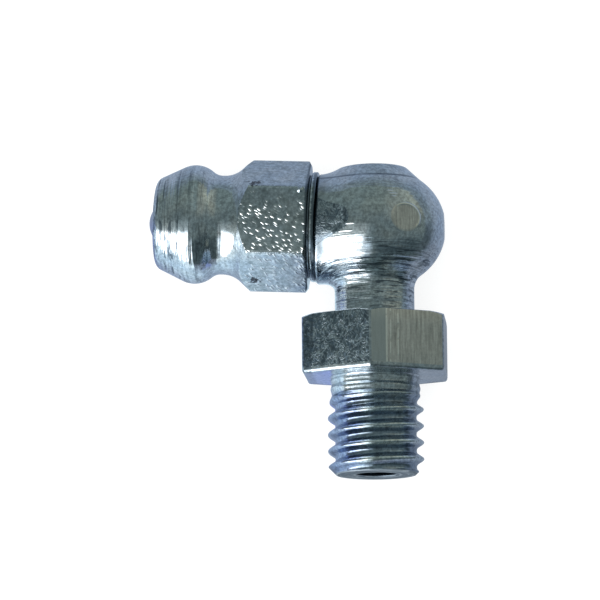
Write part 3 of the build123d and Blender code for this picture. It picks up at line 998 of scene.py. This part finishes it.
def head_material():
    material, g, shader = metal("zinc_head", ZINC, 0.14)
    turned = radians(HEAD_TURN)
    first = np.array(HEAD_X) * cos(turned) + np.array(HEAD_Y) * sin(turned)
    second = -np.array(HEAD_X) * sin(turned) + np.array(HEAD_Y) * cos(turned)
    x, y, z, radius = local_coordinates(g, HEAD_SEAT, (first, second, HEAD_AXIS))
    place = g.vector(x, y, z)
    tint, grain, _ = plating(g, place)
    # lathe lines, strongest on the nose and the crest
    depth = g.plus(0.3, g.mul(g.step(z, 5.6, 7.0), 0.35), g.mul(g.step(z, 7.9, 8.3), 0.35))
    lines, lined, _ = turned_finish(g, x, y, z, radius, depth, tint)
    sides = bar_faces(g, x, y, HEAD_FLATS, 180, 0, 60, 120, -60, -120)
    on_flat = g.mul(sides, g.step(z, 5.2, 5.1))
    speck_glints, domes = hammered_speck_glints(g, y, z, place)
    tint = g.layers(
        g.mix(on_flat, lined, tint),
        (g.mul(on_flat, g.bump_at(y, 1.2, 3.0), 0.4), PALE_FLAT),
        (g.mul(on_flat, g.step(g.noise(place, 3.0, 2.0, 0.6), 0.42, 0.62), 0.4), DULL_FLAT),
        # painted glints, in white, on the specks and on the burr near the rear of the flats
        (g.mul(speck_glints, on_flat, 0.9), WHITE),
    )
    # dark nicks where the flare cuts the bar, and a burr at the rear corner
    for spot in ((-3.2, -2.3, 3.6), (-1.1, 3.4, 3.6)):
        ragged = g.plus(g.distance(place, spot), g.mul(g.minus(grain, 0.5), 1.6))
        tint = g.mix(g.step(ragged, 0.35, 0.2, 0.0, 0.9), tint, NICK_DARK)
    corner_burr = g.step(g.distance(place, (-3.5, -1.85, 0.85)), 0.22, 0.0)
    # the joint: painted shade, with some grease, in the crevice on each side of the thin collar and
    # on the rear chamfer
    ragged = g.plus(z, g.mul(g.minus(grain, 0.5), 0.3))
    crevice_shade = g.plus(g.step(ragged, 0.22, 0.14), g.mul(g.step(z, 0.27, 0.31), g.step(z, 0.62, 0.5)))
    tint = g.mix(g.mul(crevice_shade, 0.85), tint, DARK)
    flat_height = g.plus(g.mul(domes, SPECK_HEIGHT), g.mul(grain, HEAD_GRAIN_HEIGHT))
    height = g.plus(
        g.mul(lines, g.minus(1.0, on_flat)),
        g.mul(flat_height, on_flat),
        g.mul(grain, GRAIN_HEIGHT),
        g.mul(corner_burr, CORNER_BURR_HEIGHT),
    )
    rough = g.plus(
        ROUGHNESS, g.mul(grain, GRAIN_ROUGHNESS), g.mul(on_flat, HEAD_FLAT_ROUGHNESS)
    )
    finish_surface(g, shader, height, rough, tint)
    return material


def smeared_metal(name, colour, roughness, scale, colours, smoothest, rougher, relief):
    """A metal whose colour, roughness and height follow one fine noise."""
    material, g, shader = metal(name, colour, roughness)
    smear = g.noise(g.add("ShaderNodeTexCoord", out="Object"), scale, 3.0, 0.6)
    rough = g.plus(smoothest, g.mul(smear, rougher))
    finish_surface(g, shader, g.mul(smear, relief), rough, g.mix(smear, *colours))
    return material


def ball_material():
    colours = ((0.54, 0.54, 0.55), (0.62, 0.62, 0.63))
    return smeared_metal("ball_steel", (0.58, 0.58, 0.59), 0.08, 900.0, colours, 0.07, 0.08, 0.001)


def spring_material():
    colours = ((0.38, 0.38, 0.39), (0.5, 0.5, 0.5))
    return smeared_metal("spring_wire", (0.45, 0.45, 0.46), 0.3, 3000.0, colours, 0.24, 0.15, 0.004)


for piece, material in (
    (body, body_material()),
    (head, head_material()),
    (ball, ball_material()),
    (spring, spring_material()),
):
    piece.data.materials.append(material)

# ------------------------------ room and floor
scene = bpy.context.scene
scene.view_settings.view_transform = "Standard"


def build_world():
    """A white backdrop; around the bench a dim room with a large bright window low on the left."""
    world = bpy.data.worlds.new("studio")
    scene.world = world
    world.use_nodes = True
    g = Graph(world.node_tree)
    way = g.add("ShaderNodeTexCoord", out="Generated")
    # parts of a direction, from -1 to 1, along fixed axes that lie as the photograph does
    right, up, over = (g.dot(way, axis) for axis in axes)
    upper_right = g.mul(g.step(right, 0.1, 0.6), g.step(up, 0.1, 0.5))
    lower_right = g.mul(g.step(up, -0.3, -0.62), g.step(right, -0.15, 0.15))
    far_right = g.mul(g.step(right, 0.5, 0.85), g.step(up, -0.15, -0.45))
    warm = g.mul(g.step(right, 0.48, 0.7), g.step(up, 0.3, 0.5), g.step(over, 0.38, 0.22))
    glow = g.mul(g.step(up, 0.2, -0.15), g.step(up, -0.35, -0.2), g.step(right, -0.05, -0.3))
    haze = g.mul(g.step(up, -0.4, -0.6), g.step(right, -0.02, -0.2))
    window = g.mul(g.step(right, -0.22, -0.36), g.step(up, -0.18, -0.3), g.step(over, 0.06, 0.14))
    slant = g.plus(g.mul(right, 0.847), g.mul(up, 0.531))
    pane = g.mix(g.step(slant, -0.68, -0.82), (2.3, 2.4, 2.45), (3.6, 3.7, 3.8))
    room = g.layers(
        g.mix(g.step(up, 0.3, 0.75), (0.165, 0.21, 0.21), (0.205, 0.26, 0.25)),
        (upper_right, (0.3, 0.33, 0.29)),
        (lower_right, (0.07, 0.1, 0.11)),
        (far_right, (0.062, 0.09, 0.1)),
        (warm, (0.4, 0.44, 0.38)),
        (glow, (0.46, 0.53, 0.53)),
        (haze, (0.85, 1.0, 1.1)),
        (window, pane),
    )
    camera_ray = g.add("ShaderNodeLightPath", out="Is Camera Ray")
    shown = g.mix(camera_ray, room, WHITE)
    g.tree.links.new(shown, g.nodes["Background"].inputs["Color"])


def mirrored_bench(g):
    """The bench as the metal mirrors it: bluish, with painted light pale on the left and painted
    shadow dark on the right.
    """
    place = g.add("ShaderNodeTexCoord", out="Object")
    # millimetres on the bench along the same two fixed axes, and metres from its middle
    right, up = (g.dot(place, axis * 1000) for axis in axes[:2])
    reach = g.add("ShaderNodeVectorMath", (place,), "Value", operation="LENGTH")
    violet_left = g.mul(g.step(right, -6.0, -14.0), g.bump_at(up, 3.0, 14.0))
    grey_right = g.mul(g.step(right, 3.0, 9.0), g.step(up, 8.0, -2.0))
    lit = g.mul(g.step(right, 3.0, -7.0), g.step(up, 3.0, -5.0))
    violet_under = g.mul(g.bump_at(right, 3.0, 8.0), g.bump_at(up, -5.6, 7.5))
    lit_under_boss = g.mul(g.bump_at(right, 1.0, 7.0), g.bump_at(up, 1.6, 5.0))
    far_right = g.mul(g.step(right, 14.0, 36.0), g.step(up, 14.0, -4.0))
    shadow_beside = g.mul(g.bump_at(right, 13.0, 8.0), g.bump_at(up, -2.6, 6.5), 0.8)
    shadow_beyond_end = g.mul(
        g.step(up, -9.6, -10.6), g.step(up, -18.0, -14.0), g.bump_at(right, 3.5, 14.0)
    )
    # painted light and shadow on the bench, which the metal mirrors: paler near the middle, painted
    # pools of light on the left and under the boss, painted shadow far to the right, beside the
    # hexagon and beyond the shank's end
    return g.layers(
        g.mix(g.step(reach, 0.010, 0.045), (0.36, 0.44, 0.57), (0.22, 0.28, 0.32)),
        (violet_left, (0.33, 0.42, 0.72)),
        (grey_right, (0.27, 0.32, 0.4)),
        (lit, (0.74, 0.94, 1.1)),
        (g.mul(lit, g.step(reach, 0.018, 0.04)), (1.0, 1.2, 1.32)),
        (violet_under, (0.33, 0.43, 0.88)),
        (lit_under_boss, (0.75, 0.95, 1.1)),
        (far_right, (0.09, 0.12, 0.135)),
        (shadow_beside, (0.11, 0.14, 0.17)),
        (g.mul(shadow_beyond_end, 0.8), (0.06, 0.08, 0.11)),
    )


def floor_material():
    """A pale bench: white to the camera, where it keeps a faint shadow, and bluish in the metal,
    with painted light and shadow.
    """
    material = bpy.data.materials.new("floor")
    material.use_nodes = True
    g = Graph(material.node_tree)
    g.nodes.remove(g.nodes["Principled BSDF"])
    paths = g.nodes.new("ShaderNodeLightPath").outputs
    mirrored = g.most(paths["Is Glossy Ray"], paths["Is Transmission Ray"])
    # the emission and what the matt part returns come to white where nothing shades it
    matt = g.add("ShaderNodeBsdfDiffuse", {"Color": (0.3, 0.3, 0.3, 1)})
    white = g.add("ShaderNodeEmission", {"Color": (1, 1, 1, 1), "Strength": 0.8})
    seen = g.add("ShaderNodeAddShader", (matt, white))
    grey = g.add("ShaderNodeBsdfDiffuse", {"Color": (0.7, 0.7, 0.7, 1)})
    direct = g.add("ShaderNodeMixShader", (paths["Is Camera Ray"], grey, seen))
    bench = g.add("ShaderNodeEmission", {"Color": mirrored_bench(g), "Strength": 1.0})
    every = g.add("ShaderNodeMixShader", (mirrored, direct, bench))
    g.tree.links.new(every, g.nodes["Material Output"].inputs["Surface"])
    return material


def soft_box():
    """A broad lamp overhead for what the metal doesn't mirror: the bench and the shadow on it."""
    lamp = bpy.data.lights.new("soft_box", "AREA")
    lamp.size = 0.6
    lamp.energy = 3.6
    hung = bpy.data.objects.new("soft_box", lamp)
    hung.location = (0, 0, 0.6)
    hung.visible_glossy = False
    hung.visible_camera = False
    scene.collection.objects.link(hung)


build_world()
soft_box()
FLOOR = 2
corners = [(-FLOOR, -FLOOR, 0), (FLOOR, -FLOOR, 0), (FLOOR, FLOOR, 0), (-FLOOR, FLOOR, 0)]
floor_mesh = bpy.data.meshes.new("floor")
floor_mesh.from_pydata(corners, [], [(0, 1, 2, 3)])
floor = bpy.data.objects.new("floor", floor_mesh)
scene.collection.objects.link(floor)
floor.data.materials.append(floor_material())
